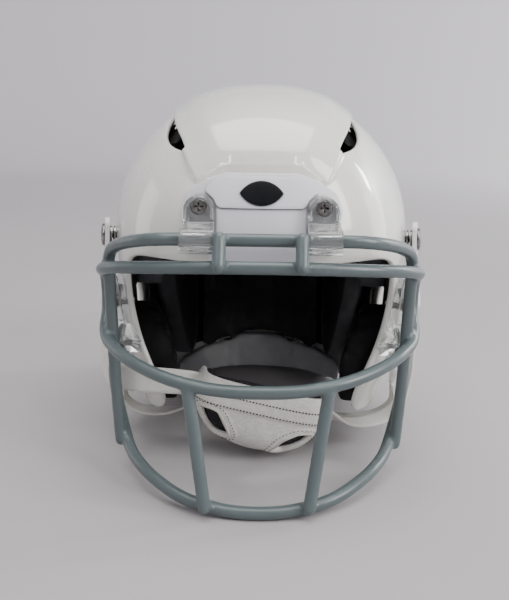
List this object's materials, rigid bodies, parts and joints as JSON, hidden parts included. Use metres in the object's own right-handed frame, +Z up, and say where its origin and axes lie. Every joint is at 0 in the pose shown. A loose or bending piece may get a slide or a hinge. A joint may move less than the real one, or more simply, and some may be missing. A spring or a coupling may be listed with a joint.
{
  "type": "american football helmet",
  "caption": "Vented American football helmet with a flip-up wire face mask in clear clips, padded liner, brow and rear bumpers, and a chin cup on snap straps.",
  "frame": {"origin": "on the surface it stands on, under the middle of the helmet's box", "axes": "+Z up, the face looks along -Y, +X is to the right of someone looking at the face"},
  "size_m": [0.236, 0.32, 0.2564],
  "materials": {
    "shell_white": "glossy white polycarbonate with a faint mottle",
    "bumper_white": "satin cool white",
    "emblem_dark": "dark moulded mark",
    "clear_plastic": "clear moulded plastic",
    "steel": "plated steel",
    "mask_grey": "grey polymer coating on steel wire",
    "pad_black": "black covered foam",
    "damper_rubber": "soft black discs",
    "strap_white": "white webbing",
    "tab_white": "moulded white plastic",
    "cup_white": "white stitched cover",
    "foam_black": "black foam lining"
  },
  "bodies": {
    "helmet": {"shell": "shell_white", "front_bumper": "bumper_white", "front_badge": "bumper_white", "front_emblem": "emblem_dark", "rear_bumper": "bumper_white", "front_clip_left": "clear_plastic", "front_clip_right": "clear_plastic", "side_clip_left": "clear_plastic", "side_clip_right": "clear_plastic", "front_clip_screws": "steel", "side_clip_screws": "steel", "rear_bumper_screws": "steel", "tee_nuts": "steel", "snap_studs": "steel", "brow_pad": "pad_black", "crown_pad": "pad_black", "rear_pad": "pad_black", "upper_rear_pad": "pad_black", "side_pad_left": "pad_black", "side_pad_right": "pad_black", "nape_pad": "pad_black", "neck_pad_left": "pad_black", "neck_pad_right": "pad_black", "jaw_pad_left": "pad_black", "jaw_pad_right": "pad_black", "liner_carrier": "pad_black", "damper_discs": "damper_rubber"},
    "facemask": {"mask_brow_bar": "mask_grey", "mask_eye_hoop": "mask_grey", "mask_chin_bar": "mask_grey", "mask_upright_left": "mask_grey", "mask_upright_right": "mask_grey", "mask_link_left": "mask_grey", "mask_link_right": "mask_grey"},
    "chin_cup_and_straps": {"chin_cup": "cup_white", "chin_cup_pad": "foam_black", "high_strap_left": "strap_white", "high_strap_right": "strap_white", "low_strap_left": "strap_white", "low_strap_right": "strap_white"},
    "buckle_left": {"strap_buckle_left": "tab_white"},
    "buckle_right": {"strap_buckle_right": "tab_white"},
    "snap_high_left": {"strap_tab_high_left": "tab_white", "snap_cap_high_left": "steel"},
    "snap_high_right": {"strap_tab_high_right": "tab_white", "snap_cap_high_right": "steel"},
    "snap_low_left": {"strap_tab_low_left": "tab_white", "snap_cap_low_left": "steel"},
    "snap_low_right": {"strap_tab_low_right": "tab_white", "snap_cap_low_right": "steel"}
  },
  "joints": [
    {"name": "mask_flip", "type": "hinge", "parent": "helmet", "child": "facemask", "pos_m": [0, -0.13, 0.164], "axis": [-1, 0, 0], "range_deg": [0, 110]},
    {"name": "chin_cup_lift", "type": "hinge", "parent": "helmet", "child": "chin_cup_and_straps", "pos_m": [0, -0.004, 0.06], "axis": [-1, 0, 0], "range_deg": [0, 20], "deforming": ["high_strap_left", "high_strap_right", "low_strap_left", "low_strap_right"]},
    {"name": "snap_high_left_pull", "type": "slide", "parent": "helmet", "child": "snap_high_left", "axis": [-0.9676, -0.2464, 0.0557], "range_m": [0, 0.006]},
    {"name": "snap_low_left_pull", "type": "slide", "parent": "helmet", "child": "snap_low_left", "axis": [-0.976, -0.1304, -0.1744], "range_m": [0, 0.006]},
    {"name": "buckle_left_slide", "type": "slide", "parent": "helmet", "child": "buckle_left", "axis": [-0.075, -0.1334, -0.9882], "range_m": [-0.004, 0.004]},
    {"name": "snap_high_right_pull", "type": "slide", "parent": "helmet", "child": "snap_high_right", "axis": [0.9676, -0.2464, 0.0557], "range_m": [0, 0.006]},
    {"name": "snap_low_right_pull", "type": "slide", "parent": "helmet", "child": "snap_low_right", "axis": [0.976, -0.1304, -0.1744], "range_m": [0, 0.006]},
    {"name": "buckle_right_slide", "type": "slide", "parent": "helmet", "child": "buckle_right", "axis": [0.075, -0.1334, -0.9882], "range_m": [-0.004, 0.004]}
  ]
}
